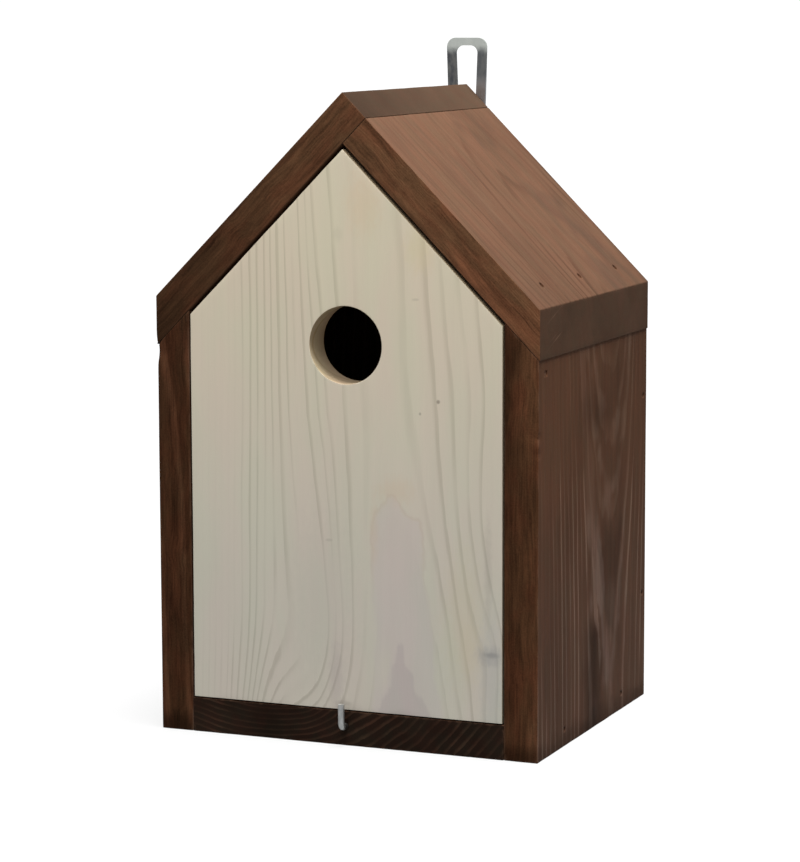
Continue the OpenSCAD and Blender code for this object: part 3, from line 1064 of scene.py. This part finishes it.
def studio_floor():
    """A pale floor that curves up into a backdrop all round."""
    profile = [(radius, 0) for radius in (0, 2, 4, FLAT_REACH)]
    curve = FLOOR_REACH - FLAT_REACH
    for n in range(1, CURVE_STEPS + 1):
        turn = math.radians(90) * n / CURVE_STEPS
        profile.append((FLAT_REACH + curve * math.sin(turn), curve * (1 - math.cos(turn))))
    profile.append((FLOOR_REACH, RIM_HEIGHT))
    bm = bmesh.new()
    verts = [bm.verts.new((r, 0, z)) for r, z in profile]
    edges = [bm.edges.new(pair) for pair in zip(verts, verts[1:])]
    bmesh.ops.spin(
        bm, geom=verts + edges, cent=(0, 0, 0), axis=(0, 0, 1), angle=math.tau,
        steps=SPIN_STEPS, use_duplicate=False,
    )
    bmesh.ops.remove_doubles(bm, verts=bm.verts, dist=1e-5)
    bmesh.ops.recalc_face_normals(bm, faces=bm.faces)
    mesh = bpy.data.meshes.new("studio_floor")
    bm.to_mesh(mesh)
    bm.free()
    for polygon in mesh.polygons:
        polygon.use_smooth = True
    floor = bpy.data.objects.new("studio_floor", mesh)
    bpy.context.scene.collection.objects.link(floor)
    material, tree, shader = new_material("pale_floor")
    place = tree.nodes.new("ShaderNodeTexCoord").outputs["Object"]
    cloud = noise(tree, place, (2, 2, 2), 3)
    plug(tree, shader.inputs["Base Color"],
         mixed(tree, cloud, (0.085, 0.085, 0.085), (0.095, 0.095, 0.095)))
    shader.inputs["Emission Color"].default_value = (1, 1, 1, 1)
    shader.inputs["Emission Strength"].default_value = 0.82
    shader.inputs["Roughness"].default_value = 0.9
    shader.inputs["Specular IOR Level"].default_value = 0.1
    mesh.materials.append(material)
    floor.visible_diffuse = False
    floor.visible_shadow = False
    floor.visible_glossy = False


def lamp(name, kind, energy, back, place=(0, 0, 0)):
    """A light that shines the other way from back."""
    light = bpy.data.lights.new(name, kind)
    light.energy = energy
    obj = bpy.data.objects.new(name, light)
    obj.location = place
    obj.rotation_mode = "QUATERNION"
    obj.rotation_quaternion = Vector(back).to_track_quat("Z", "Y")
    bpy.context.scene.collection.objects.link(obj)
    return light


def ambient(strength):
    """Even white light from all round."""
    world = bpy.data.worlds.new("studio")
    world.use_nodes = True
    background = world.node_tree.nodes["Background"]
    background.inputs["Color"].default_value = (1, 1, 1, 1)
    background.inputs["Strength"].default_value = strength
    bpy.context.scene.world = world


studio_floor()
ambient(0.42)
sun = lamp("sun_top", "SUN", 2.4 * math.pi, (0.18, 0, 0.98))
sun.angle = math.radians(30)
KEY_PLACE, KEY_TARGET = Vector((0.10, -0.50, 0.80)), Vector((0, -0.07, 0.18))
key = lamp("key_front", "AREA", 2.2, KEY_PLACE - KEY_TARGET, KEY_PLACE)
key.shape = "SQUARE"
key.size = 0.4

LENS = 128.87332
SENSOR = 36.0
CAMERA_PLACE = (0.54859, -1.32309, 0.33123)
AZIMUTH, ELEVATION, ROLL = (math.radians(a) for a in (22.672, 7.842, -0.173))


def photo_camera():
    """The photograph's viewpoint: right of the front, a little above the roof."""
    data = bpy.data.cameras.new("camera")
    data.sensor_width = SENSOR
    data.sensor_fit = "AUTO"
    data.lens = LENS
    data.clip_start = 0.05
    data.clip_end = 60
    camera = bpy.data.objects.new("camera", data)
    bpy.context.scene.collection.objects.link(camera)
    back = Vector((
        math.sin(AZIMUTH) * math.cos(ELEVATION),
        -math.cos(AZIMUTH) * math.cos(ELEVATION),
        math.sin(ELEVATION),
    ))
    right = Z.cross(back).normalized()
    up = back.cross(right)
    turned = Matrix((right, up, back)).transposed().to_4x4()
    camera.matrix_world = Matrix.Translation(CAMERA_PLACE) @ turned @ Matrix.Rotation(ROLL, 4, "Z")
    bpy.context.scene.camera = camera


photo_camera()
bpy.context.scene.view_settings.view_transform = "Standard"
bpy.context.scene.view_settings.look = "None"
